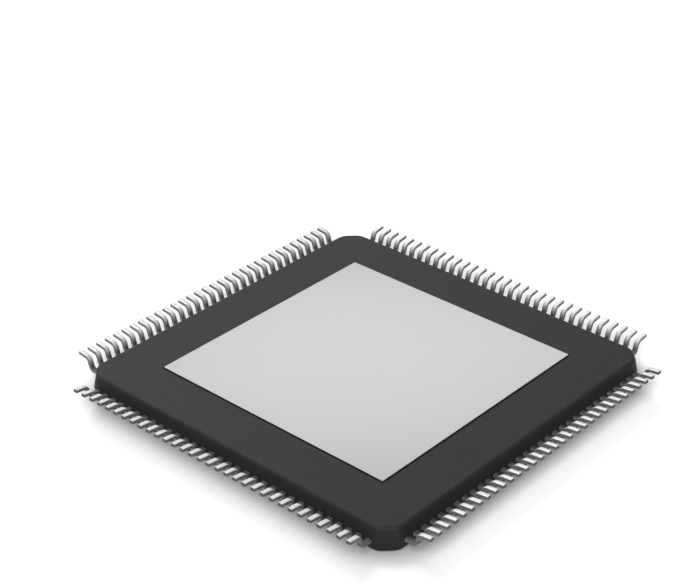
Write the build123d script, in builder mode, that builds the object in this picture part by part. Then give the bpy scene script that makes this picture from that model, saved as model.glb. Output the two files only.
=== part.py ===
from build123d import *
import os
from math import cos, radians, sin, sqrt, tan

# Thin quad flat pack with 128 gull-wing leads and an exposed pad, lying on its flat marking face.
# Millimetres. Z = 0 is the marking face, +Z leaves the underside, which carries the exposed pad.
# The origin is the centre of the marking face, and the four rows of leads lie along X and Y.

# Moulded body
body_side = 14.0  # over the parting line, on X and on Y
body_thickness = 1.0
mould_draft = 11.0  # degrees, on both halves
face_edge_radius = 0.30
corner_cut = 0.58  # leg of the cut at each corner
corner_round = 0.45  # radius of the upright edges beside a cut

# Dimple in the marking face that marks lead 1
mark_diameter = 1.0
mark_depth = 0.05
mark_inset = 1.5  # from its centre to each side of the body

# Lead frame sheet, which the leads, the paddle and the tie bars are cut from
frame_thickness = 0.127

# Leads
leads_per_side = 32
row_inset = 0.80  # from each end of the body side to the middle of the first lead
lead_width = 0.18
lead_length = 1.0  # from the body side to the tip
standoff = 0.05  # from the underside to the seating plane
shoulder_reach = 0.45  # from the body side to the corner where the shank starts
shank_lean = 15.0  # degrees off upright
foot_angle = 7.0  # degrees, the toe touches the seating plane
bend_inner_radius = 0.12
leads_per_bank = 8

# Fingers, the inner part of the leads
finger_tip_inset = 1.50  # from the body side to the finger's tip
finger_tip_width = 0.15
finger_bar_gap = 0.288  # along the row, from the last finger's tip to the tie bar

# Exposed pad, which is the outer face of the die paddle
pad_side = 10.0
pad_proud = 0.05

# Corner tie bars of the paddle
tie_bar_width = 0.25
tie_bar_root = 0.05  # coined thickness where the bar leaves the paddle
tie_bar_root_length = 0.10  # past the paddle's corner
tie_bar_cover = 0.15  # moulding between the bar's end and the corner face

# Die and the adhesive under it
die_side = 6.0
die_thickness = 0.28
attach_margin = 0.10  # adhesive showing round the die
attach_thickness = 0.03

# Heights that the pieces share
half_side = body_side / 2
parting_z = body_thickness / 2
frame_low_z = parting_z - frame_thickness / 2
frame_high_z = parting_z + frame_thickness / 2
seat_z = body_thickness + standoff
pad_z = body_thickness + pad_proud
paddle_inner_z = pad_z - frame_thickness
die_back_z = paddle_inner_z - attach_thickness
die_face_z = die_back_z - die_thickness

# Lead rows: the pitch spreads the leads over the body side, and the fan of fingers fits between two tie bars
lead_count = 4 * leads_per_side
lead_pitch = (body_side - 2 * row_inset) / (leads_per_side - 1)
tip_span = body_side + 2 * lead_length
finger_tip_x = half_side - finger_tip_inset
finger_tip_reach = finger_tip_x - tie_bar_width / sqrt(2) - finger_bar_gap - finger_tip_width / 2
finger_tip_pitch = 2 * finger_tip_reach / (leads_per_side - 1)

os.makedirs("parts", exist_ok=True)


def lead_offset(place):
    """Place of a lead along its row, for place 0 at one end of the row."""
    return ((leads_per_side - 1) / 2 - place) * lead_pitch


def lead_face(depth):
    """Stops of one face of a formed lead, depth millimetres from the face that looks away from the board.

    X points outwards and Y is the height. The two bends are arcs about shared centres. Each is kept as two
    flats, because there are so many leads.
    """
    lean = radians(shank_lean)
    foot = radians(foot_angle)
    bend_x = half_side + shoulder_reach
    level = frame_low_z + depth
    toe_x = tip_span / 2 - depth * sin(foot)
    toe_z = seat_z - (frame_thickness - depth) * cos(foot)
    shank_x = bend_x - depth / cos(lean) + depth * tan(lean)
    heel_z = (toe_z - (toe_x - shank_x + level * tan(lean)) * tan(foot)) / (1 - tan(lean) * tan(foot))
    heel_x = shank_x + (heel_z - level) * tan(lean)
    bent_face = FilletPolyline(
        (half_side, level),
        (shank_x, level),
        (heel_x, heel_z),
        (toe_x, toe_z),
        radius=[bend_inner_radius + frame_thickness - depth, bend_inner_radius + depth],
    )
    stops = [bent_face @ 0]
    for edge in bent_face.edges():
        if edge.geom_type == GeomType.CIRCLE:
            stops.append(edge @ 0.5)
        stops.append(edge @ 1)
    return stops


# Formed leads of the +X row, one solid each: gull wing outside, finger inside
lead_outline = lead_face(0) + lead_face(frame_thickness)[::-1]
row_leads = []
for place in range(leads_per_side):
    along = lead_offset(place)
    tip_along = along * finger_tip_pitch / lead_pitch
    with BuildPart() as formed_lead:
        with BuildSketch(Plane.XZ.offset(-along - lead_width / 2)):
            with BuildLine():
                Polyline(*lead_outline, close=True)
            make_face()
        extrude(amount=lead_width)
        with BuildSketch(Plane.XY.offset(frame_low_z)):
            with BuildLine():
                Polyline(
                    (half_side, along - lead_width / 2),
                    (half_side, along + lead_width / 2),
                    (finger_tip_x, tip_along + finger_tip_width / 2),
                    (finger_tip_x, tip_along - finger_tip_width / 2),
                    close=True,
                )
            make_face()
        extrude(amount=frame_thickness)
    row_leads.append(formed_lead.part)

# Banks of leads, numbered from the dimple's corner: +X row, -Y row, -X row, +Y row
lead_banks = []
for first in range(0, lead_count, leads_per_bank):
    last = min(first + leads_per_bank, lead_count)
    with BuildPart() as lead_bank:
        bank = []
        for number in range(first, last):
            side, place = divmod(number, leads_per_side)
            bank.append(row_leads[place].rotate(Axis.Z, -90 * side))
        add(bank)
    lead_bank.part.label = f"leads_{first + 1:03d}_{last:03d}"
    export_step(lead_bank.part, f"parts/{lead_bank.part.label}.step")
    lead_banks.append(lead_bank.part)

# Die paddle: its outer face is the exposed pad, and a tie bar leaves it at each corner
with BuildPart() as die_paddle:
    with BuildSketch(Plane.XY.offset(paddle_inner_z)):
        Rectangle(pad_side, pad_side)
    extrude(amount=frame_thickness)
    pad_corner = pad_side / sqrt(2)
    root_z = paddle_inner_z + tie_bar_root
    bar_start = pad_corner - tie_bar_width
    bar_bend = pad_corner + tie_bar_root_length
    bar_end = (body_side - corner_cut) / sqrt(2) - tie_bar_cover
    for turn in (45, 135, 225, 315):
        across = (cos(radians(turn)), sin(radians(turn)), 0)
        side_on = (sin(radians(turn)), -cos(radians(turn)), 0)
        with BuildSketch(Plane(origin=(0, 0, 0), x_dir=across, z_dir=side_on).offset(-tie_bar_width / 2)):
            with BuildLine():
                Polyline(
                    (bar_start, paddle_inner_z),
                    (bar_bend - tie_bar_root, paddle_inner_z),
                    (bar_bend - tie_bar_root + paddle_inner_z - frame_low_z, frame_low_z),
                    (bar_end, frame_low_z),
                    (bar_end, frame_high_z),
                    (bar_bend + root_z - frame_high_z, frame_high_z),
                    (bar_bend, root_z),
                    (bar_start, root_z),
                    close=True,
                )
            make_face()
        extrude(amount=tie_bar_width)
die_paddle.part.label = "die_paddle"
export_step(die_paddle.part, "parts/die_paddle.step")

# Adhesive layer between the paddle and the die
with BuildPart() as die_attach:
    with BuildSketch(Plane.XY.offset(die_back_z)):
        Rectangle(die_side + 2 * attach_margin, die_side + 2 * attach_margin)
    extrude(amount=attach_thickness)
die_attach.part.label = "die_attach"
export_step(die_attach.part, "parts/die_attach.step")

# Silicon die, with its circuit side towards the marking face
with BuildPart() as die:
    with BuildSketch(Plane.XY.offset(die_face_z)):
        Rectangle(die_side, die_side)
    extrude(amount=die_thickness)
die.part.label = "die"
export_step(die.part, "parts/die.step")

# Moulded body: two drafted halves that meet at the parting line, closed round all the other pieces
with BuildPart() as moulded_body:
    parting_plane = Plane.XY.offset(parting_z)
    with BuildSketch(parting_plane) as parting_outline:
        Rectangle(body_side, body_side)
        chamfer(parting_outline.vertices(), length=corner_cut)
        fillet(parting_outline.vertices(), radius=corner_round)
    extrude(amount=body_thickness / 2, taper=mould_draft)
    mirror(about=parting_plane)
    face_edges = moulded_body.faces().filter_by(Axis.Z).edges()
    fillet(face_edges, radius=face_edge_radius)
    mark_centre = half_side - mark_inset
    with BuildSketch(Plane.XY):
        with Locations((mark_centre, mark_centre)):
            Circle(mark_diameter / 2)
    extrude(amount=mark_depth, mode=Mode.SUBTRACT)
    add([die_paddle.part, die_attach.part, die.part], mode=Mode.SUBTRACT)
    add(lead_banks, mode=Mode.SUBTRACT)
moulded_body.part.label = "moulded_body"
export_step(moulded_body.part, "parts/moulded_body.step")
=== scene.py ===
# %% [markdown]
# # A chip in a thin quad flat pack, turned on its back
#
# The object is a square black block of moulding compound, 14 mm wide and one millimetre thick.
# Thirty-two bent metal leads stand out of each side, and a bare metal pad fills the middle of the
# underside. It lies on its marking face here, so the pad and the soles of the leads look up.
#
# The solids come in as a fixed frame, at their real size and place. This script gives every
# surface its final form and finish. Everything is in metres, so the sizes below are written in
# millimetres times MM.

# %% Load the frame
from math import cos, pi, radians, sin, sqrt, tan

import bpy
import numpy as np
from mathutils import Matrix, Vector


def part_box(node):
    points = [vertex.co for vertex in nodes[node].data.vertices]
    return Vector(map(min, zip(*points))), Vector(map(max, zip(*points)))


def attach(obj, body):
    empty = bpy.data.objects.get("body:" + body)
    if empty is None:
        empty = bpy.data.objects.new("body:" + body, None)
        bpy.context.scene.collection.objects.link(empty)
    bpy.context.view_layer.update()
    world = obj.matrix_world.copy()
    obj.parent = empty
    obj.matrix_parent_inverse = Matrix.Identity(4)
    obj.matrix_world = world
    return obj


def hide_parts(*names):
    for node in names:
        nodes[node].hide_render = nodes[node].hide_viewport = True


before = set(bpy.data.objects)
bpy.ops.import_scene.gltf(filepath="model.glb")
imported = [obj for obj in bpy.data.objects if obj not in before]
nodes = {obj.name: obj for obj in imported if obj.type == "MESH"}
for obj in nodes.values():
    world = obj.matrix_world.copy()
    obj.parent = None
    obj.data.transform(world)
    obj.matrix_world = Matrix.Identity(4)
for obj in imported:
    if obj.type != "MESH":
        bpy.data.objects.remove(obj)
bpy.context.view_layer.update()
MM = 0.001

# %% [markdown]
# ## Sizes that the pieces share
#
# What the frame can say is measured from it: the body, the seating plane, the pad and the sheet
# metal that the leads and the paddle are cut from. The form of one lead is written here once, as
# its maker would give it: how far the shoulder reaches, how the shank leans, how the foot is
# tilted and how tight the bends are.

# %% Sizes from the frame
half_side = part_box("moulded_body")[1].x
body_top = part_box("moulded_body")[1].z
pad_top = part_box("die_paddle")[1].z
sheet_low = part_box("die_paddle")[0].z
first_bank_low, first_bank_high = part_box("leads_001_008")
finger_tip_out = first_bank_low.x
lead_tip_out = first_bank_high.x
seat_height = first_bank_high.z
parting_height = body_top / 2
sheet_thickness = 2 * (parting_height - sheet_low)
sheet_high = sheet_low + sheet_thickness
paddle_inner = pad_top - sheet_thickness
print("sheet thickness in mm", round(sheet_thickness / MM, 3), "seat", round(seat_height / MM, 3))

# %% Sizes of one lead and of the rows
leads_per_side = 32
leads_per_bank = 8
row_inset = 0.80 * MM
lead_pitch = 2 * (half_side - row_inset) / (leads_per_side - 1)
lead_width = 0.18 * MM
shoulder_reach = 0.45 * MM
shank_lean = radians(15)
foot_angle = radians(7)
bend_inner_radius = 0.12 * MM
finger_tip_width = 0.15 * MM
finger_tip_pitch = 0.32 * MM
row_places = ((leads_per_side - 1) / 2 - np.arange(leads_per_side)) * lead_pitch
row_length = row_places[0] - row_places[-1]
print("pitch in mm", round(lead_pitch / MM, 3), "row length", round(row_length / MM, 2))

# %% [markdown]
# ## Helpers for surfaces that are worked out as arrays
#
# Every piece below is a stack of closed rings of points. A ring is one row of an array, and the
# surface is the quads between neighbouring rings. The other way would be to push and pull a box
# by hand, but a formula keeps 128 leads alike, and makes each seam close because the last column
# is joined to the first by its index. Which way a face looks is set by the order of its points.
# The volume that a closed surface encloses comes out negative when the faces look inwards, so one
# helper measures it and turns them round.

# %% Rings, caps and the mesh itself
def strip_faces(rings, around):
    """Quads between neighbouring rings, as an array of ring, place round it and corner.

    A quad joins points j and j + 1 of ring i to points j + 1 and j of ring i + 1."""
    ring = np.arange(rings - 1)[:, None] * around
    here = np.arange(around)[None, :]
    after = (here + 1) % around
    beyond = ring + around
    return np.stack([ring + here, ring + after, beyond + after, beyond + here], axis=-1)


def tube_faces(rings, around):
    """The quads of a stack of rings as a list, with a cap over the first and the last ring."""
    first_cap = list(range(around))[::-1]
    last_cap = list(range((rings - 1) * around, rings * around))
    return strip_faces(rings, around).reshape(-1, 4).tolist() + [first_cap, last_cap]


def enclosed_volume(points, faces):
    """Signed volume to the origin: the sum of a . (b x c) / 6 over the triangles of every face."""
    total = 0.0
    for size in {len(f) for f in faces}:
        index = np.array([f for f in faces if len(f) == size])
        for k in range(1, size - 1):
            a, b, c = points[index[:, 0]], points[index[:, k]], points[index[:, k + 1]]
            total += np.einsum("ij,ij->i", a, np.cross(b, c)).sum() / 6
    return total


def open_edges(faces):
    """How many edges don't join exactly two faces. A closed surface has none."""
    pairs = np.array([sorted(p) for f in faces for p in zip(f, f[1:] + f[:1])])
    counts = np.unique(pairs, axis=0, return_counts=True)[1]
    return int((counts != 2).sum())


def add_piece(name, points, faces, material, replaced=(), smooth_under=35, attributes=None):
    """Makes a mesh of points and faces that look outwards, and lets it ride in place of nodes.

    The shading is rounded where neighbouring faces turn by less than smooth_under degrees."""
    faces = [list(map(int, f)) for f in faces]
    volume = enclosed_volume(points, faces)
    if volume < 0:
        faces = [f[::-1] for f in faces]
    mesh = bpy.data.meshes.new(name)
    mesh.from_pydata(points.tolist(), [], faces)
    for key, values in (attributes or {}).items():
        layer = mesh.attributes.new(key, "FLOAT", "POINT")
        layer.data.foreach_set("value", values.astype(np.float32))
    mesh.shade_smooth()
    mesh.set_sharp_from_angle(angle=radians(smooth_under))
    mesh.materials.append(material)
    piece = bpy.data.objects.new(name, mesh)
    bpy.context.scene.collection.objects.link(piece)
    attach(piece, "root")
    if replaced:
        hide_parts(*replaced)
    print(
        name, "triangles", sum(len(f) - 2 for f in faces), "open edges", open_edges(faces),
        "mm3", round(abs(volume) / MM**3, 3),
    )


def turned(points, quarter_turns):
    """Points turned about Z by quarter turns: (x, y) goes to (x cos - y sin, x sin + y cos)."""
    angle = quarter_turns * pi / 2
    c, s = round(cos(angle)), round(sin(angle))
    return points @ np.array([[c, s, 0], [-s, c, 0], [0, 0, 1]])


# %% [markdown]
# ## Materials
#
# Each finish is built from shader nodes that read Object coordinates, so the grain stays in place
# on the part at its real scale. Painted pictures would do for one view, but they blur close up,
# and a pattern that is worked out stays sharp. A few small helpers keep the node code short: one
# makes a Principled shader, one adds a noise pattern, some stretch it and colour it, and one
# turns it into fine relief. The greys are linear values.

# %% Node helpers
def new_material(name, roughness, metallic=0.0, **sockets):
    """A Principled material. What is the same all over is set on the shader's own sockets."""
    material = bpy.data.materials.new(name)
    material.use_nodes = True
    shader = material.node_tree.nodes["Principled BSDF"]
    shader.inputs["Roughness"].default_value = roughness
    shader.inputs["Metallic"].default_value = metallic
    for socket, value in sockets.items():
        shader.inputs[socket.replace("_", " ")].default_value = value
    return material, material.node_tree, shader


def noise(tree, grain, detail=2.0, stretch=(1, 1, 1)):
    """Noise in Object coordinates, its grains about `grain` metres wide.

    They are drawn out along an axis whose stretch is below 1."""
    place = tree.nodes.new("ShaderNodeTexCoord")
    mapping = tree.nodes.new("ShaderNodeMapping")
    mapping.inputs["Scale"].default_value = [s / grain for s in stretch]
    pattern = tree.nodes.new("ShaderNodeTexNoise")
    pattern.inputs["Scale"].default_value = 1.0
    pattern.inputs["Detail"].default_value = detail
    tree.links.new(place.outputs["Object"], mapping.inputs["Vector"])
    tree.links.new(mapping.outputs["Vector"], pattern.inputs["Vector"])
    return pattern.outputs["Fac"]


def height_above_floor(tree):
    """The Z of Object coordinates, in metres."""
    place = tree.nodes.new("ShaderNodeTexCoord")
    split = tree.nodes.new("ShaderNodeSeparateXYZ")
    tree.links.new(place.outputs["Object"], split.inputs[0])
    return split.outputs["Z"]


def spread(tree, value, low, high, source=(0.3, 0.7)):
    """Maps the source range of a pattern onto low to high."""
    ramp = tree.nodes.new("ShaderNodeMapRange")
    ramp.inputs["From Min"].default_value = source[0]
    ramp.inputs["From Max"].default_value = source[1]
    ramp.inputs["To Min"].default_value = low
    ramp.inputs["To Max"].default_value = high
    tree.links.new(value, ramp.inputs["Value"])
    return ramp.outputs["Result"]


def blend_colours(tree, factor, first, second):
    """Colour between first and second. Each is a colour or the output of another node."""
    mix = tree.nodes.new("ShaderNodeMix")
    mix.data_type = "RGBA"
    tree.links.new(factor, mix.inputs["Factor"])
    for socket, colour in ((mix.inputs[6], first), (mix.inputs[7], second)):
        if isinstance(colour, bpy.types.NodeSocket):
            tree.links.new(colour, socket)
        else:
            socket.default_value = colour
    return mix.outputs[2]


def relief(tree, shader, height, depth):
    """Turns a pattern from 0 to 1 into relief of that depth in metres."""
    bump = tree.nodes.new("ShaderNodeBump")
    bump.inputs["Strength"].default_value = 1.0
    bump.inputs["Distance"].default_value = depth
    tree.links.new(height, bump.inputs["Height"])
    tree.links.new(bump.outputs["Normal"], shader.inputs["Normal"])


def grey(level):
    """An opaque grey of that linear level."""
    return (level, level, level, 1)


def grey_between(tree, pattern, low, high):
    """A grey that follows a pattern: low where it is dark, high where it is light."""
    return blend_colours(tree, spread(tree, pattern, 0, 1), grey(low), grey(high))


def mesh_attribute(tree, name):
    """The number that a mesh carries at its points under that name."""
    attribute = tree.nodes.new("ShaderNodeAttribute")
    attribute.attribute_name = name
    return attribute.outputs["Fac"]


# %% [markdown]
# ### Moulding compound
#
# The body is epoxy filled with ground silica and soot black. The mould is spark eroded, which
# leaves a fine even matte grain on it. Two patterns make it: a grain of about a tenth of a
# millimetre that is relief and a slight change of grey, and a broad, very faint cloudiness where
# the filler flowed. The compound itself is nearly black: most of the light that comes back is a
# dull gloss, uneven in the same grain, because the resin shows between the filler. So how a face
# is turned to the lamps says more about its grey than its colour does.

# %% Moulding material
grain_size = 0.09 * MM
grain_depth = 0.004 * MM
flow_size = 1.6 * MM
flow_share = 0.35
soot_dark, soot_light, soot_cloud = 0.0055, 0.012, 0.0115
moulding_dullness = (0.56, 0.72)

moulding, tree, shader = new_material(
    "moulding_compound", roughness=0.62, IOR=1.45, Specular_IOR_Level=0.32
)
grain = noise(tree, grain_size, detail=3.0)
flow = noise(tree, flow_size, detail=2.0)
grained = grey_between(tree, grain, soot_dark, soot_light)
cloudy = blend_colours(tree, spread(tree, flow, 0, flow_share), grained, grey(soot_cloud))
tree.links.new(cloudy, shader.inputs["Base Color"])
tree.links.new(spread(tree, grain, *moulding_dullness), shader.inputs["Roughness"])
relief(tree, shader, grain, grain_depth)
print(moulding.name, "nodes", len(tree.nodes))

# %% [markdown]
# ### Matte tin on the leads
#
# The leads are punched from copper alloy strip and plated with matte tin. The rolled faces are
# smooth and nearly white. The punched side faces are rougher and darker, and the end that was cut
# after plating is the darkest. The mesh carries that in two attributes, sheared and cut_end,
# because no pattern in space can tell the faces of 128 leads apart.
#
# In the picture the feet are bright and the shoulders dark. The shoulders, down by the moulding
# between the shanks, get painted shade that fades out up the shank. The likely cause is a film of
# resin that is left near the moulding and thins out up the shank, while the press rubs the feet
# bright, and it is built that way. All 128 shoulders have one height, so there the height alone is
# enough.
#
# Matte tin scatters light more than it mirrors it. A pure metal shader takes all its light from
# what it mirrors, and this bare scene has only a floor and a pale sky for that, so this one is
# less than a third metal.

# %% Lead material
crystal_size = 0.012 * MM
crystal_depth = 0.0012 * MM
smear_size = 0.09 * MM
# Heights over which the painted shade on the shoulders fades out.
shade_full_below = 0.68 * MM
shade_gone_above = 1.02 * MM
bright_tin = (0.60, 0.72)
shoulder_shade_tin = (0.06, 0.10)
punched_tin = (0.125, 0.19)
cut_copper = 0.07
lead_dullness = (0.46, 0.58)

lead_tin, tree, shader = new_material("matte_tin_leads", roughness=0.52, metallic=0.30)
crystals = noise(tree, crystal_size, detail=2.0)
smears = noise(tree, smear_size, detail=3.0)
# Painted shade: the rolled faces get darker below about one millimetre, down to the shoulders by
# the moulding.
shoulder_shade = spread(tree, height_above_floor(tree), 1, 0, source=(shade_full_below, shade_gone_above))
bright = grey_between(tree, smears, *bright_tin)
dull = grey_between(tree, smears, *shoulder_shade_tin)
rolled = blend_colours(tree, shoulder_shade, bright, dull)
punched = grey_between(tree, smears, *punched_tin)
sides = blend_colours(tree, mesh_attribute(tree, "sheared"), rolled, punched)
whole = blend_colours(tree, mesh_attribute(tree, "cut_end"), sides, grey(cut_copper))
tree.links.new(whole, shader.inputs["Base Color"])
tree.links.new(spread(tree, smears, *lead_dullness), shader.inputs["Roughness"])
relief(tree, shader, crystals, crystal_depth)
print(lead_tin.name, "nodes", len(tree.nodes))

# %% [markdown]
# ### Matte tin on the pad
#
# The pad is the same sheet with the same plating, but a large flat face shows more of it: a faint
# rolling grain in one direction, a fine mottle, and soft clouds where the plating is a little
# thicker. On top of that the colour holds a painted pool of light: the pad is brightest a little
# off its middle and gets slowly darker towards its corners, a smooth bowl worked out from the
# distance to that brightest place. Uneven plating can do that, and so can a lamp that is near,
# and the picture doesn't tell which. The punched wall round the plate is painted almost black,
# painted shade that draws a thin dark line round the pad over a sheared edge that is a little
# darker of itself.

# %% How far a place is from the brightest one
def away_from(tree, middle, widths):
    """(u / first width) ** 2 + (v / second width) ** 2 from the middle.

    u runs along the diagonal between +X and +Y, and v across it."""
    place = tree.nodes.new("ShaderNodeTexCoord")
    shift = tree.nodes.new("ShaderNodeVectorMath")
    shift.operation = "SUBTRACT"
    shift.inputs[1].default_value = (*middle, 0)
    mapping = tree.nodes.new("ShaderNodeMapping")
    mapping.inputs["Rotation"].default_value = (0, 0, -pi / 4)
    flat = tree.nodes.new("ShaderNodeVectorMath")
    flat.operation = "MULTIPLY"
    flat.inputs[1].default_value = (1 / widths[0], 1 / widths[1], 0)
    square = tree.nodes.new("ShaderNodeVectorMath")
    square.operation = "DOT_PRODUCT"
    tree.links.new(place.outputs["Object"], shift.inputs[0])
    tree.links.new(shift.outputs[0], mapping.inputs["Vector"])
    tree.links.new(mapping.outputs["Vector"], flat.inputs[0])
    tree.links.new(flat.outputs[0], square.inputs[0])
    tree.links.new(flat.outputs[0], square.inputs[1])
    return square.outputs["Value"]


# %% Pad material
pad_level = 0.538
streak_level = pad_level * 0.985
mottle_level = pad_level * 1.03
cloud_level = pad_level * 1.02
cloud_share = 0.5
# Almost black: painted shade on the punched wall round the plate.
painted_shade_wall_level = 0.01
rolling_size, rolling_stretch = 0.05 * MM, (1, 0.04, 1)
mottle_size = 0.09 * MM
cloud_size = 2.2 * MM
pad_crystal_size = 0.05 * MM
pad_crystal_depth = 0.0008 * MM
# Middle and widths of the painted pool of light on the pad.
painted_light_middle = (2.3 * MM, -1.1 * MM)
painted_light_widths = (16.5 * MM, 23.6 * MM)
pad_dullness = (0.47, 0.55)

pad_tin, tree, shader = new_material("matte_tin_pad", roughness=0.50, metallic=0.15)
rolling = noise(tree, rolling_size, detail=3.0, stretch=rolling_stretch)
mottle = noise(tree, mottle_size, detail=1.0)
clouds = noise(tree, cloud_size, detail=2.0)
crystals = noise(tree, pad_crystal_size, detail=2.0)
streaked = grey_between(tree, rolling, streak_level, pad_level)
mottled = blend_colours(tree, spread(tree, mottle, 0, 1), streaked, grey(mottle_level))
clouded = blend_colours(tree, spread(tree, clouds, 0, cloud_share), mottled, grey(cloud_level))
# Painted pool of light: the colour fades slowly towards black away from the brightest place.
painted_light_falloff = blend_colours(tree, away_from(tree, painted_light_middle, painted_light_widths), clouded, grey(0))
# Painted shade: where sheared is 1, the plate's wall and the bars get an almost black grey.
whole = blend_colours(tree, mesh_attribute(tree, "sheared"), painted_light_falloff, grey(painted_shade_wall_level))
tree.links.new(whole, shader.inputs["Base Color"])
tree.links.new(spread(tree, rolling, *pad_dullness), shader.inputs["Roughness"])
relief(tree, shader, crystals, pad_crystal_depth)
print(pad_tin.name, "nodes", len(tree.nodes))

# %% [markdown]
# ### What is sealed inside
#
# Nothing inside shows, but it is there: a polished silicon die with its circuit blocks,
# silver-filled adhesive and gold wire. They get simple finishes of their own, so that the part is
# right when the body is hidden. The solids of the die and the adhesive have the right shape
# already, so they only get their material.

# %% Inner materials
block_width = 0.9 * MM
flake_size, flake_depth = 0.03 * MM, 0.003 * MM
draw_mark_size = 0.02 * MM

silicon, tree, shader = new_material("silicon_die", roughness=0.22, metallic=0.25)
block_place = tree.nodes.new("ShaderNodeTexCoord")
blocks = tree.nodes.new("ShaderNodeTexBrick")
blocks.inputs["Scale"].default_value = 1 / block_width
blocks.inputs["Mortar Size"].default_value = 0.03
blocks.inputs["Color1"].default_value = (0.10, 0.11, 0.15, 1)
blocks.inputs["Color2"].default_value = (0.15, 0.14, 0.17, 1)
blocks.inputs["Mortar"].default_value = (0.06, 0.065, 0.08, 1)
tree.links.new(block_place.outputs["Object"], blocks.inputs["Vector"])
tree.links.new(blocks.outputs["Color"], shader.inputs["Base Color"])

adhesive, tree, shader = new_material("silver_adhesive", roughness=0.55, metallic=0.4)
flakes = noise(tree, flake_size, detail=3.0)
tree.links.new(blend_colours(tree, flakes, grey(0.42), grey(0.62)), shader.inputs["Base Color"])
relief(tree, shader, flakes, flake_depth)

gold, tree, shader = new_material("gold_wire", roughness=0.25, metallic=1.0)
drawn = noise(tree, draw_mark_size, detail=1.0)
streaky_gold = blend_colours(tree, drawn, (0.86, 0.60, 0.22, 1), (0.92, 0.68, 0.30, 1))
tree.links.new(streaky_gold, shader.inputs["Base Color"])

for name, material in (("die", silicon), ("die_attach", adhesive)):
    nodes[name].data.materials.clear()
    nodes[name].data.materials.append(material)
    print(name, "is now", material.name)

# %% [markdown]
# ## The leads
#
# A lead is a strip that was punched flat and then formed in a press. It leaves the body level,
# bends up, rises in a shank that leans a little, and bends back to a foot whose toe touches the
# board. Inside the body it goes on as a finger that fans in towards the die.
#
# It could be drawn as a curve with a bevel, but then its section would round off in the bends,
# and the width could not change along the finger. So the centre line is worked out as an array of
# stations, with true arcs in the bends, and a rounded rectangle is carried along it. All eight
# leads of a bank are one array.

# %% Centre line of a lead
bend_steps = 7


def bent_line(corners, radius):
    """Stations of a line with its inner corners rounded, as arrays of place and heading.

    An arc starts radius * tan(turn / 2) before its corner and ends as far after it. Its points are
    start + radius * (sin t, 1 - cos t) along and beside the incoming line, for t from 0 to the
    turn."""
    corners = np.array(corners, float)
    legs = np.diff(corners, axis=0)
    headings = np.arctan2(legs[:, 1], legs[:, 0])
    places, angles = [corners[:1]], [headings[:1]]
    for corner, before, after in zip(corners[1:-1], headings[:-1], headings[1:]):
        turn = after - before
        t = np.linspace(0, abs(turn), bend_steps + 1)
        ahead = radius * (np.sin(t) - tan(abs(turn) / 2))
        aside = np.sign(turn) * radius * (1 - np.cos(t))
        along = np.array([cos(before), sin(before)])
        left = np.array([-sin(before), cos(before)])
        places.append(corner + ahead[:, None] * along + aside[:, None] * left)
        angles.append(before + np.sign(turn) * t)
    places.append(corners[-1:])
    angles.append(headings[-1:])
    return np.vstack(places), np.concatenate(angles)


def lead_corners(depth):
    """Corners of the lead's side view at that depth in the sheet, from the body side to the toe.

    The foot and the shank are two straight lines, and the heel is where they cross."""
    level = sheet_low + depth
    toe_out = lead_tip_out - depth * sin(foot_angle)
    toe_up = seat_height - (sheet_thickness - depth) * cos(foot_angle)
    shank_out = half_side + shoulder_reach - depth / cos(shank_lean) + depth * tan(shank_lean)
    rise = toe_up - (toe_out - shank_out + level * tan(shank_lean)) * tan(foot_angle)
    heel_up = rise / (1 - tan(shank_lean) * tan(foot_angle))
    heel_out = shank_out + (heel_up - level) * tan(shank_lean)
    return [(half_side, level), (shank_out, level), (heel_out, heel_up), (toe_out, toe_up)]


centre_radius = bend_inner_radius + sheet_thickness / 2
line, heading = bent_line(lead_corners(sheet_thickness / 2), centre_radius)
middle_of_heel = line[-2 - bend_steps // 2]
print("stations", len(line), "heel at mm", np.round(middle_of_heel / MM, 3))

# %% Section of a lead, carried along the line
edge_round = 0.022 * MM
toe_round = 0.014 * MM
edge_steps = 2


def strip_section(width, thickness, round_off, inward=0.0):
    """Rounded rectangle about the origin: each corner's centre plus radius * (cos, sin)."""
    sweep = np.linspace(0, pi / 2, edge_steps + 1)
    radius = round_off - inward
    ring = []
    for quarter in range(4):
        angle = sweep + quarter * pi / 2
        middle = quarter * pi / 2 + pi / 4
        across = np.sign(cos(middle)) * (width / 2 - round_off) + radius * np.cos(angle)
        through = np.sign(sin(middle)) * (thickness / 2 - round_off) + radius * np.sin(angle)
        ring.append(np.column_stack([across, through]))
    return np.vstack(ring)


toe_back = line[-1] - toe_round * np.array([cos(heading[-1]), sin(heading[-1])])
finger_tip = [finger_tip_out, line[0, 1]]
stations = np.vstack([[finger_tip], line[:-1], [toe_back], line[-1:]])
headings = np.concatenate([heading[:1], heading[:-1], heading[-1:], heading[-1:]])
widths = np.full(len(stations), lead_width)
widths[0] = finger_tip_width
sections = np.array([strip_section(w, sheet_thickness, edge_round) for w in widths])
sections[-1] = strip_section(lead_width, sheet_thickness, edge_round, inward=toe_round)
# From the punched side to the rolled face, sheared falls from 1 to 0. At the next corner it
# rises again.
corner_share = np.tile(np.linspace(0, 1, edge_steps + 1), 4)
swap_share = np.repeat([0, 1, 0, 1], edge_steps + 1)
sheared_share = 1 - np.abs(swap_share - corner_share)
around = sections.shape[1]
print("points round the section", around, "stations with the finger's tip", len(stations))


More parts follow.
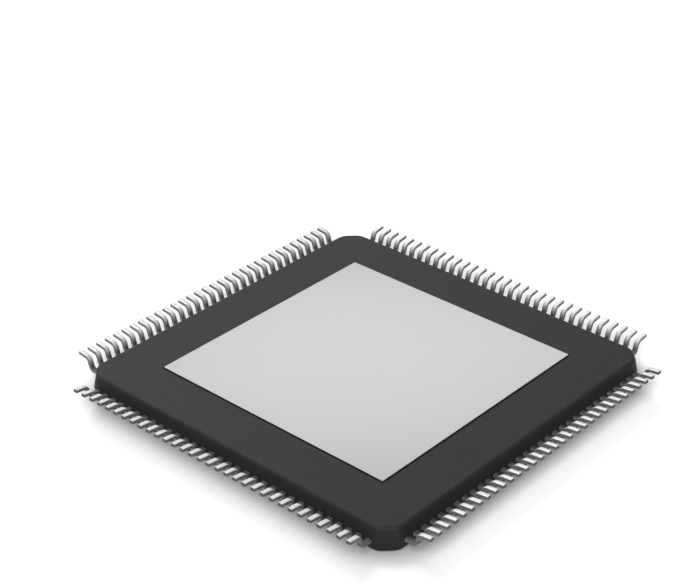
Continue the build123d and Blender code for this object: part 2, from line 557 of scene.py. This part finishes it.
def lead_surfaces(numbers):
    """Points of several leads, as one array of lead, point and coordinate.

    A point is the station plus through * (-sin, cos) of the heading in the side view, and across
    along the row. The finger's tip is moved along the row, so that the fan closes in."""
    side, place = np.divmod(numbers, leads_per_side)
    along = row_places[place]
    shift = np.repeat(along[:, None], len(stations), axis=1)
    shift[:, 0] = along * finger_tip_pitch / lead_pitch
    out = stations[:, :1] - sections[:, :, 1] * np.sin(headings)[:, None]
    up = stations[:, 1:] + sections[:, :, 1] * np.cos(headings)[:, None]
    row = shift[:, :, None] + sections[None, :, :, 0]
    shape = row.shape
    points = np.stack([np.broadcast_to(out, shape), row, np.broadcast_to(up, shape)], axis=-1)
    leads = points.reshape(len(numbers), -1, 3)
    return np.array([turned(lead, -s) for lead, s in zip(leads, side)])


# %% Sixteen banks of eight leads
lead_faces = tube_faces(len(stations), around)
end_share = np.zeros((len(stations), around))
end_share[-1] = 1
for first in range(0, 4 * leads_per_side, leads_per_bank):
    numbers = np.arange(first, first + leads_per_bank)
    points = lead_surfaces(numbers)
    per_lead = points.shape[1]
    faces = [[i + per_lead * k for i in f] for k in range(leads_per_bank) for f in lead_faces]
    bank = f"{first + 1:03d}_{first + leads_per_bank:03d}"
    marks = {
        "sheared": np.tile(sheared_share, len(stations) * leads_per_bank),
        "cut_end": np.tile(end_share.ravel(), leads_per_bank),
    }
    add_piece(
        f"formed_leads_{bank}", points.reshape(-1, 3), faces, lead_tin,
        replaced=[f"leads_{bank}"], attributes=marks,
    )

# %% [markdown]
# ## The moulded body
#
# Two mould halves meet at half height, and both walls are drafted so that the part lets go. The
# edges round the two flat faces are rounded, the underside's more tightly than the marking
# face's. The four corners are cut, and a hair of flash stands where the halves met. The underside
# has a shallow bed that the paddle lies in, and each side has the windows that the leads come out
# of. Along the bed runs a fine groove. The picture shows only a thin dark line there, and a resin
# that shrank a little from the metal would leave one.
#
# A bevelled box would come close, but the windows and the dimple need edges just where the leads
# are. So the body is a stack of closed rings from the bed of the paddle over the edge and down to
# the dimple. Each ring has the same columns: both edges of every lead, the middle of every gap,
# and the rounding at the corners.

# %% Plan outline of the body
corner_cut = 0.58 * MM
corner_round = 0.45 * MM
corner_steps = 5
gap_places = (row_places[1:] + row_places[:-1]) / 2
side_stops = np.sort(np.concatenate([
    row_places - lead_width / 2, row_places + lead_width / 2, gap_places,
]))


def body_outline(inset):
    """The plan outline moved inwards: four times a side, an arc, the cut's middle and an arc.

    A side moved by d lets the cut's end slide by d * (sqrt(2) - 1). The arc of radius r starts
    r * tan(22.5 degrees) before that end. A stop that lies p past its start is drawn in to
    side - r + sqrt(r^2 - p^2). The arc's other points are its centre plus r * (cos, sin), from the
    last stop on."""
    side = half_side - inset
    cut_end_place = half_side - corner_cut - inset * (sqrt(2) - 1)
    arc_start = cut_end_place - corner_round * tan(pi / 8)
    arc_centre = side - corner_round
    past = np.clip(abs(side_stops) - arc_start, 0, None)
    along_side = np.column_stack([arc_centre + np.sqrt(corner_round**2 - past**2), side_stops])
    sweep = np.linspace(np.arcsin(past[-1] / corner_round), pi / 4, corner_steps + 1)[1:]
    arc = np.column_stack([
        arc_centre + corner_round * np.cos(sweep), arc_start + corner_round * np.sin(sweep),
    ])
    middle = np.full((1, 2), (side + cut_end_place) / 2)
    quarter = np.vstack([along_side, arc, middle, arc[::-1, ::-1]])
    quarter = np.column_stack([quarter, np.zeros(len(quarter))])
    return np.vstack([turned(quarter, k) for k in range(4)])


columns = len(body_outline(0))
print("columns round the body", columns)

# %% Height profile of the body
mould_draft = radians(11)
under_round = 0.14 * MM
marking_round = 0.30 * MM
face_steps = 10
wall_support = 0.02 * MM
flash_proud = 0.005 * MM
flash_half = 0.012 * MM
flash_tip = 0.004 * MM


def wall_profile(face_round):
    """Height above the parting line and inset, from a flat face down to the parting line.

    The rounding's centre lies face_round inside both the face and the wall, whose inset is
    height * tan(draft). Its points are the centre plus face_round * (sin a, -cos a), for a from 90
    degrees to the draft."""
    rise = body_top / 2 - face_round
    middle_inset = rise * tan(mould_draft) + face_round / cos(mould_draft)
    a = np.linspace(pi / 2, mould_draft, face_steps + 1)
    arc = np.column_stack([rise + face_round * np.sin(a), middle_inset - face_round * np.cos(a)])
    support = arc[-1, 0] - wall_support
    lower = np.array([support, sheet_thickness / 2, flash_half])
    wall = np.column_stack([lower, lower * tan(mould_draft)])
    return np.vstack([arc, wall, [[flash_tip, -flash_proud]]])


upper, lower = wall_profile(under_round), wall_profile(marking_round)[::-1]
heights = np.concatenate([upper[:, 0], -lower[:, 0]]) + parting_height
insets = np.concatenate([upper[:, 1], lower[:, 1]])
window_high = int(np.argmin(abs(heights - sheet_high)))
window_low = int(np.argmin(abs(heights - sheet_low)))
print("rows", len(heights), "window rows", window_high, "to", window_low)
print("inset of the underside's flat in mm", round(insets[0] / MM, 3))

# %% Rings of the underside, the walls and the marking face
pad_half = 5.0 * MM
rim_support = 0.04 * MM
bed_groove = 0.045 * MM
mark_radius = 0.5 * MM
mark_depth = 0.05 * MM
mark_inset = 1.5 * MM
mark_place = np.array([half_side - mark_inset, half_side - mark_inset, 0])
mark_round = 0.018 * MM
mark_support = 3 * mark_round
mark_steps = 3


def ring_at(inset, height):
    """The body's outline at that inset, lifted to that height."""
    return body_outline(inset) + [0, 0, height]


def square_ring(ring, half_width, height):
    """A ring drawn in until it meets a square: each point times half_width / max(|x|, |y|)."""
    scaled = ring * (half_width / abs(ring[:, :2]).max(axis=1))[:, None]
    return np.column_stack([scaled[:, :2], np.full(len(ring), height)])


def mark_ring(ring, radius, height):
    """A circle round the dimple's middle, with a point in the direction of each of the ring's."""
    away = ring - mark_place
    away[:, 2] = 0
    away /= np.linalg.norm(away, axis=1)[:, None]
    return mark_place + radius * away + [0, 0, height]


def mark_edge(ring, t):
    """Two rings of the dimple at the angle t: one of its rounded lip, one of its rounded foot.

    The lip is mark_round * (1 - sin t) outside the wall and mark_round * (1 - cos t) deep. The foot
    has the two shares the other way round, inside the wall and above the dimple's floor."""
    out, down = mark_round * (1 - sin(t)), mark_round * (1 - cos(t))
    lip = mark_ring(ring, mark_radius + out, down)
    foot = mark_ring(ring, mark_radius - down, mark_depth - out)
    return lip, foot


under_flat = ring_at(insets[0] + rim_support, body_top)
mark_flat = ring_at(insets[-1] + rim_support, 0)
near_mark = mark_ring(mark_flat, mark_radius + mark_support, 0)
mark_angles = np.linspace(0, pi / 2, mark_steps + 1)
rings = [
    square_ring(under_flat, pad_half, paddle_inner),
    square_ring(under_flat, pad_half, body_top - bed_groove),
    square_ring(under_flat, pad_half + rim_support, body_top),
    under_flat,
]
first_wall = len(rings)
rings += [ring_at(inset, height) for inset, height in zip(insets, heights)]
rings += [mark_flat, (mark_flat + near_mark) / 2, near_mark]
lips, feet = zip(*[mark_edge(mark_flat, t) for t in mark_angles])
rings += list(lips) + list(feet)
body_points = np.vstack(rings)
print("rings", len(rings), "points", len(body_points))

# %% Windows for the leads, and the skin as one closed piece
def window_columns():
    """Column index of the first edge of every lead: three columns a lead, four sides."""
    per_quarter = columns // 4
    return (np.arange(4)[:, None] * per_quarter + 3 * np.arange(leads_per_side)).ravel()


def finger_ends():
    """The four corners of every finger's tip, in the order of the columns, rising along the row."""
    rising = row_places[::-1] * finger_tip_pitch / lead_pitch
    all_alike = np.ones(leads_per_side)
    corners = []
    for edge, height in ((-1, sheet_high), (1, sheet_high), (1, sheet_low), (-1, sheet_low)):
        across = rising + edge * finger_tip_width / 2
        corners.append(np.column_stack([finger_tip_out * all_alike, across, height * all_alike]))
    one_side = np.stack(corners, axis=1).reshape(-1, 3)
    return np.vstack([turned(one_side, k) for k in range(4)]).reshape(-1, 4, 3)


skin = strip_faces(len(rings), columns)
keep = np.ones(skin.shape[:2], bool)
window_rows = range(first_wall + window_high, first_wall + window_low)
keep[np.ix_(window_rows, window_columns())] = False
body_faces = skin[keep].tolist()
tip_first = len(body_points)
mouth_rows = np.arange(first_wall + window_high, first_wall + window_low + 1) * columns
for k, column in enumerate(window_columns()):
    left, right = (mouth_rows + column).tolist(), (mouth_rows + column + 1).tolist()
    a, b, c, d = range(tip_first + 4 * k, tip_first + 4 * k + 4)
    body_faces += [[left[0], right[0], b, a], [right[-1], left[-1], d, c], [a, b, c, d]]
    body_faces += [left[::-1] + [a, d], right + [c, b]]
bed_middle = tip_first + 4 * len(window_columns())
mark_middle = bed_middle + 1
last_ring = (len(rings) - 1) * columns
body_faces += [[bed_middle, (j + 1) % columns, j] for j in range(columns)]
body_faces += [[mark_middle, last_ring + j, last_ring + (j + 1) % columns] for j in range(columns)]
poles = [[0, 0, paddle_inner], mark_place + [0, 0, mark_depth]]
body_points = np.vstack([body_points, finger_ends().reshape(-1, 3), poles])
add_piece(
    "body_shell", body_points, body_faces, moulding,
    replaced=["moulded_body"], smooth_under=30,
)

# %% [markdown]
# ## The paddle
#
# The paddle is a square of the same sheet that the die is stuck to. Its outer face is the exposed
# pad, and it stands a little proud of the body. A punched edge is never quite sharp, so its rim
# is rounded by a hair. The wall below the rim is painted almost black, painted shade that with the
# groove beside it draws the thin dark line round the pad. At each corner a narrow bar steps down
# to the level of the leads. It held the paddle in the frame while the body was moulded.
#
# The plate is a stack of square rings, and a bar is four stations with four corners each. All
# five are closed surfaces in one mesh, and each bar is turned so that it looks outwards as the
# plate does.

# %% Plate of the paddle
pad_rim = 0.014 * MM
rim_steps = 4
rim_margin = 0.005 * MM
wall_starts_at = 1.3 * pad_rim
plan_round = 0.03 * MM
plan_steps = 4


def plate_ring(inset, height):
    """A square moved inwards: each corner's centre plus (plan_round - inset) * (cos, sin)."""
    sweep = np.linspace(0, pi / 2, plan_steps + 1)
    centre = pad_half - plan_round
    radius = plan_round - inset
    x, y = centre + radius * np.cos(sweep), centre + radius * np.sin(sweep)
    arc = np.column_stack([x, y, np.full(len(sweep), height)])
    return np.vstack([turned(arc, k) for k in range(4)])


plate = [plate_ring(pad_rim + rim_margin, pad_top)]
for t in np.linspace(0, pi / 2, rim_steps + 1):
    plate.append(plate_ring(pad_rim * (1 - sin(t)), pad_top - pad_rim * (1 - cos(t))))
plate += [plate_ring(0, pad_top - wall_starts_at), plate_ring(0, paddle_inner)]
around_plate = len(plate[0])
plate_points = np.vstack(plate)
plate_faces = tube_faces(len(plate), around_plate)
# 1 on the two lowest rings, the wall, which take the painted shade.
plate_share = np.repeat([0.0] * (len(plate) - 2) + [1.0, 1.0], around_plate)
print("plate rings", len(plate), "points", len(plate_points))

# %% Tie bars, and the paddle as one piece
tie_width = 0.25 * MM
tie_root = 0.03 * MM
tie_root_length = 0.10 * MM
tie_cover = 0.15 * MM


def tie_bar():
    """A bar along +X, turned by 45 degrees: four stations of two low and two high points."""
    corner = pad_half * sqrt(2)
    bend = corner + tie_root_length
    root_high = paddle_inner + tie_root
    end = (2 * half_side - corner_cut) / sqrt(2) - tie_cover
    low = [(corner - tie_width, paddle_inner), (bend - tie_root, paddle_inner)]
    low += [(bend - tie_root + paddle_inner - sheet_low, sheet_low), (end, sheet_low)]
    high = [(corner - tie_width, root_high), (bend, root_high)]
    high += [(bend + root_high - sheet_high, sheet_high), (end, sheet_high)]
    low, high = np.array(low), np.array(high)
    edge = np.full(4, tie_width / 2)
    order = ((low, -edge), (low, edge), (high, edge), (high, -edge))
    points = np.stack([np.column_stack([p[:, 0], e, p[:, 1]]) for p, e in order], axis=1)
    eighth = np.array([[1, 1, 0], [-1, 1, 0], [0, 0, sqrt(2)]]) / sqrt(2)
    return points.reshape(-1, 3) @ eighth


bar = tie_bar()
bar_faces = tube_faces(4, 4)
if enclosed_volume(bar, bar_faces) * enclosed_volume(plate_points, plate_faces) < 0:
    bar_faces = [f[::-1] for f in bar_faces]
paddle_points = np.vstack([plate_points] + [turned(bar, k) for k in range(4)])
bar_starts = len(plate_points) + len(bar) * np.arange(4)
paddle_faces = plate_faces + [[start + i for i in f] for start in bar_starts for f in bar_faces]
# The wall and the bars carry the sheared mark, and with it the painted shade.
sheared_and_shaded_walls = np.concatenate([plate_share, np.ones(4 * len(bar))])
add_piece(
    "pad_and_tie_bars", paddle_points, paddle_faces, pad_tin,
    replaced=["die_paddle"], attributes={"sheared": sheared_and_shaded_walls},
)

# %% [markdown]
# ## The bond wires
#
# A wire thinner than a hair joins each contact of the die to the finger of its lead. It starts as
# a small ball on the die, leaves it in a steep loop, and lands flat on the finger. The die faces
# the marking face, so here the loops hang down. A wire is a round section carried along a loop
# that is one formula, so all 128 are one array. They are sealed in, and make one piece.

# %% Wire loops
wire_radius = 0.0115 * MM
ball_radius = 0.030 * MM
wire_stations = 11
wire_around = 5
loop_rise = 0.20 * MM
contact_inset = 0.12 * MM
contact_pitch = 0.17 * MM
die_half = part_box("die")[1].x
die_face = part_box("die")[0].z
landing_inset = 0.20 * MM
finger_length = 1.50 * MM
ball_share = 0.03
loop_lean = 0.6


def wire_loops():
    """Points of the wires of one side, as wire, station, point round the section.

    s runs from 0 at the die to 1 at the finger, with its stations closest at both ends. In plan a
    wire is straight. Its height changes evenly, less the loop's rise times
    sin(pi * s ** loop_lean), which is steep at the die and shallow at the finger. The radius
    shrinks from the ball's to the wire's as exp(-(s / ball_share) ** 2)."""
    s = (1 - np.cos(np.linspace(0, pi, wire_stations))) / 2
    order = row_places / lead_pitch
    all_alike = np.ones(leads_per_side)
    start = np.column_stack([(die_half - contact_inset) * all_alike, order * contact_pitch])
    fan = landing_inset / finger_length
    landing_pitch = finger_tip_pitch * (1 - fan) + lead_pitch * fan
    finish = np.column_stack([(finger_tip_out + landing_inset) * all_alike, order * landing_pitch])
    plan = start[:, None] + s[None, :, None] * (finish - start)[:, None]
    low = sheet_low - wire_radius
    height = (die_face - wire_radius) * (1 - s) + low * s - loop_rise * np.sin(pi * s**loop_lean)
    heights = np.broadcast_to(height[None, :, None], plan.shape[:2] + (1,))
    line = np.concatenate([plan, heights], axis=2)
    ahead = np.gradient(line, axis=1)
    ahead /= np.linalg.norm(ahead, axis=2)[..., None]
    side = np.cross(ahead, [0, 0, 1])
    side /= np.linalg.norm(side, axis=2)[..., None]
    over = np.cross(side, ahead)
    radius = wire_radius + (ball_radius - wire_radius) * np.exp(-(s / ball_share) ** 2)
    t = np.arange(wire_around) * 2 * pi / wire_around
    circle = np.cos(t)[:, None] * side[:, :, None] + np.sin(t)[:, None] * over[:, :, None]
    return line[:, :, None] + radius[None, :, None, None] * circle


loops = wire_loops().reshape(-1, 3)
wire_points = np.vstack([turned(loops, -k) for k in range(4)])
one_wire = tube_faces(wire_stations, wire_around)
per_wire = wire_stations * wire_around
wire_faces = [[i + per_wire * k for i in f] for k in range(4 * leads_per_side) for f in one_wire]
add_piece("bond_wires", wire_points, wire_faces, gold, smooth_under=80)
print("lowest wire in mm", round(wire_points[:, 2].min() / MM, 3))

# %% [markdown]
# ## The floor
#
# The part lies on a white table. The floor's white comes from its own colour and from a little
# glow that only the camera and mirror rays see, so it adds no light to the part and still keeps
# the shadow. For the rays that carry light to the part the floor is darker, so that the steep
# walls stay nearly black.
#
# Close to the body the table also gets darker by ambient occlusion: the share of the sky that
# something within a millimetre hides. The two lamps alone left the shadow too wide and too flat
# there, so its dark seam is added in the floor's own colour.

# %% Floor
floor_half = 3.0
floor_drop = 0.002 * MM
floor_mesh = bpy.data.meshes.new("floor")
corner_signs = ((-1, -1), (1, -1), (1, 1), (-1, 1))
corners = [(x * floor_half, y * floor_half, -floor_drop) for x, y in corner_signs]
floor_mesh.from_pydata(corners, [], [(0, 1, 2, 3)])
floor = bpy.data.objects.new("floor", floor_mesh)
bpy.context.scene.collection.objects.link(floor)
print("floor", 2 * floor_half, "m wide")

# %% Floor material
def seen_by_camera_or_gloss(tree):
    """1 for camera, glossy and transmission rays, 0 for the rays that carry light to the part."""
    rays = tree.nodes.new("ShaderNodeLightPath")
    total = rays.outputs["Is Camera Ray"]
    for name in ("Is Glossy Ray", "Is Transmission Ray"):
        both = tree.nodes.new("ShaderNodeMath")
        both.operation = "MAXIMUM"
        tree.links.new(total, both.inputs[0])
        tree.links.new(rays.outputs[name], both.inputs[1])
        total = both.outputs[0]
    return total


floor_white = 0.98
paper_light = floor_white * 1.01
floor_glow = 0.11
floor_bounce = 0.35
paper_size = 4.0 * MM
contact_reach = 0.92 * MM
contact_dark = 0.46
contact_range = (0.45, 0.97)

table, tree, shader = new_material("white_table", roughness=1.0, Specular_IOR_Level=0.0)
seen = seen_by_camera_or_gloss(tree)
paper = noise(tree, paper_size, detail=2.0)
white = grey_between(tree, paper, floor_white, paper_light)
contact = tree.nodes.new("ShaderNodeAmbientOcclusion")
contact.samples = 16
contact.inputs["Distance"].default_value = contact_reach
open_share = spread(tree, contact.outputs["AO"], 0, 1, source=contact_range)
shaded = blend_colours(tree, open_share, grey(floor_white * contact_dark), white)
tree.links.new(blend_colours(tree, seen, grey(floor_bounce), shaded), shader.inputs["Base Color"])
shader.inputs["Emission Color"].default_value = (1, 1, 1, 1)
glow = tree.nodes.new("ShaderNodeMath")
glow.operation = "MULTIPLY"
glow.inputs[1].default_value = floor_glow
tree.links.new(seen, glow.inputs[0])
tree.links.new(glow.outputs[0], shader.inputs["Emission Strength"])
floor_mesh.materials.append(table)
print(table.name, "nodes", len(tree.nodes))

# %% [markdown]
# ## World and lamps
#
# Two broad lamps light the part: the main one in front, a little to the left, and a weaker one
# behind on the left. Each throws its shadow to the far side, so a soft grey lies beside the rows.
# Their directions and strengths were fitted to the levels of the faces and shadows in the
# picture. Both are sun lamps, because over 16 mm no real lamp changes much in strength. Together
# they light the floor with about one, so its colour renders about as it is written.
#
# The world adds almost no light. It is there for the gloss: the rays that the tin mirrors see a
# pale room that gets darker towards the ceiling.

# %% World
sky_level = 0.02
mirrored_low, mirrored_high = 0.85, 0.45
world = bpy.data.worlds.new("studio")
bpy.context.scene.world = world
world.use_nodes = True
tree = world.node_tree
background = tree.nodes["Background"]
direction = tree.nodes.new("ShaderNodeTexCoord")
split = tree.nodes.new("ShaderNodeSeparateXYZ")
tree.links.new(direction.outputs["Generated"], split.inputs[0])
rising = spread(tree, split.outputs["Z"], 0, 1, source=(0, 1))
mirrored = blend_colours(tree, rising, grey(mirrored_low), grey(mirrored_high))
room = blend_colours(tree, seen_by_camera_or_gloss(tree), grey(sky_level), mirrored)
tree.links.new(room, background.inputs["Color"])
print("world nodes", len(tree.nodes))

# %% Two lamps
lamps = {
    "window_light": {"comes_from": (-0.633, -0.390, 0.669), "energy": 3.06},
    "back_light": {"comes_from": (0.303, 0.639, 0.707), "energy": 1.57},
}
lamp_width = radians(40)
for name, lamp in lamps.items():
    light = bpy.data.lights.new(name, "SUN")
    light.energy = lamp["energy"]
    light.angle = lamp_width
    holder = bpy.data.objects.new(name, light)
    holder.rotation_mode = "QUATERNION"
    holder.rotation_quaternion = Vector(lamp["comes_from"]).to_track_quat("Z", "Y")
    bpy.context.scene.collection.objects.link(holder)
    print(name, "energy", lamp["energy"])

# %% [markdown]
# ## The camera
#
# The camera looks at one corner of the body from thirty degrees above the table, with a long
# lens. Its place, aim and lens were found by a fit: the tips of the 128 leads have known places on
# the part, and the camera that puts them where the picture has them is the right one. The part
# lies below the middle of the picture, so the camera aims at a place behind its centre.

# %% Camera, found by fitting the 128 lead tips
view_target = Vector((3.684, 4.233, 0.50)) * MM
view_distance = 66.13 * MM
view_azimuth = radians(-48.31)
view_elevation = radians(30.12)
view_lens = 90.84
towards_camera = Vector((
    sin(view_azimuth) * cos(view_elevation),
    -cos(view_azimuth) * cos(view_elevation),
    sin(view_elevation),
))
camera_data = bpy.data.cameras.new("camera")
camera_data.sensor_fit = "HORIZONTAL"
camera_data.sensor_width = 36.0
camera_data.lens = view_lens
camera_data.clip_start = 1 * MM
camera_data.clip_end = 20.0
camera = bpy.data.objects.new("camera", camera_data)
camera.location = view_target + view_distance * towards_camera
camera.rotation_mode = "QUATERNION"
camera.rotation_quaternion = (-towards_camera).to_track_quat("-Z", "Y")
bpy.context.scene.collection.objects.link(camera)
bpy.context.scene.camera = camera
bpy.context.scene.view_settings.view_transform = "Standard"
print("camera at mm", [round(v / MM, 2) for v in camera.location])
